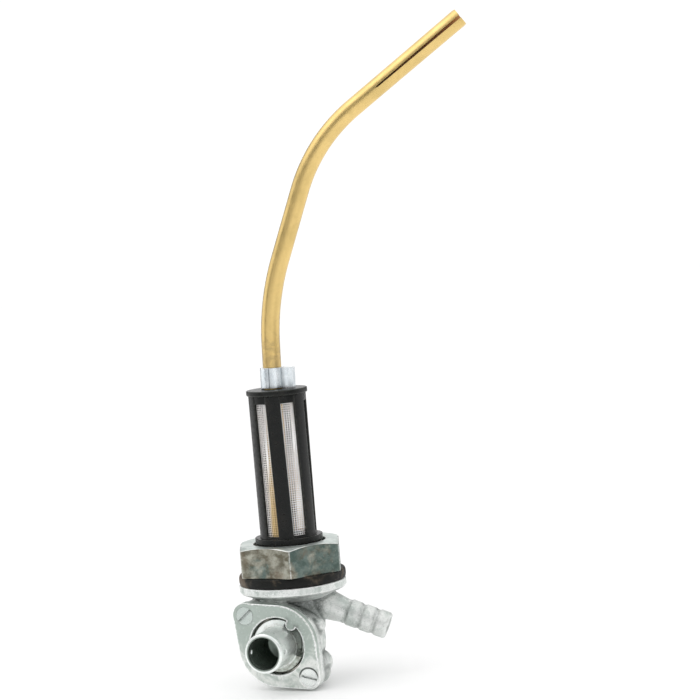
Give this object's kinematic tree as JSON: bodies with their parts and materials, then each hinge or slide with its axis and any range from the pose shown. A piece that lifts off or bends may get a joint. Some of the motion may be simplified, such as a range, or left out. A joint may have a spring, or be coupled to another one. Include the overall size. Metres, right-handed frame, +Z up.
{
  "type": "fuel tap",
  "caption": "Small-engine fuel tap: turning valve with hollow stem, hose barb, tank nut and gasket, gauze strainer and bent brass standpipe.",
  "frame": {"origin": "centre of the flange's top face, where the tank gasket seats, on the neck's axis", "axes": "+Z up the neck and strainer into the tank, -Y along the valve stem towards the selector rod, +X towards the hose barb"},
  "size_m": [0.0808, 0.047, 0.1979],
  "materials": {
    "cast_zinc": "as-cast zinc alloy, satin",
    "rotor_zinc": "machined zinc alloy, satin",
    "plate_zinc": "die-cast zinc plate with a bright bevel",
    "nut_steel": "mottled passivated steel, bright chamfers",
    "screw_steel": "bright zinc plated",
    "spring_steel": "oiled spring steel",
    "clip_steel": "bright zinc plated strip",
    "soft_plug": "pressed soft metal",
    "brass": "drawn brass tube, bright",
    "black_nylon": "moulded black nylon, semi-gloss",
    "gauze": "fine white woven nylon gauze",
    "rubber": "black nitrile rubber",
    "gasket_rubber": "black moulded rubber"
  },
  "bodies": {
    "body": {"tap_body": "cast_zinc", "passage_plug": "soft_plug", "valve_packing": "rubber", "cover_plate": "plate_zinc", "cover_screws": "screw_steel", "neck_seal": "rubber", "strainer_frame": "black_nylon", "strainer_gauze": "gauze", "strainer_cap": "black_nylon", "pipe_bush": "rubber", "pipe_clip": "clip_steel", "standpipe": "brass"},
    "valve": {"valve_rotor": "rotor_zinc", "rotor_o_ring": "rubber", "wave_washer": "spring_steel"},
    "gasket": {"tank_gasket": "gasket_rubber"},
    "nut": {"tank_nut": "nut_steel"}
  },
  "joints": [
    {"name": "valve_turn", "type": "hinge", "parent": "body", "child": "valve", "pos_m": [0, -0.0165, -0.017], "axis": [0, -1, 0], "range_deg": [0, 64]},
    {"name": "nut_lift", "type": "slide", "parent": "body", "child": "gasket", "axis": [0, 0, 1], "range_m": [0, 0.0061]},
    {"name": "nut_turn", "type": "hinge", "parent": "gasket", "child": "nut", "pos_m": [0, 0, 0.008], "axis": [0, 0, 1], "range_deg": [0, 1440]}
  ],
  "couplings": [
    {"joint": "nut_lift", "follows": "nut_turn", "m_per_rad": 0.00023873}
  ]
}
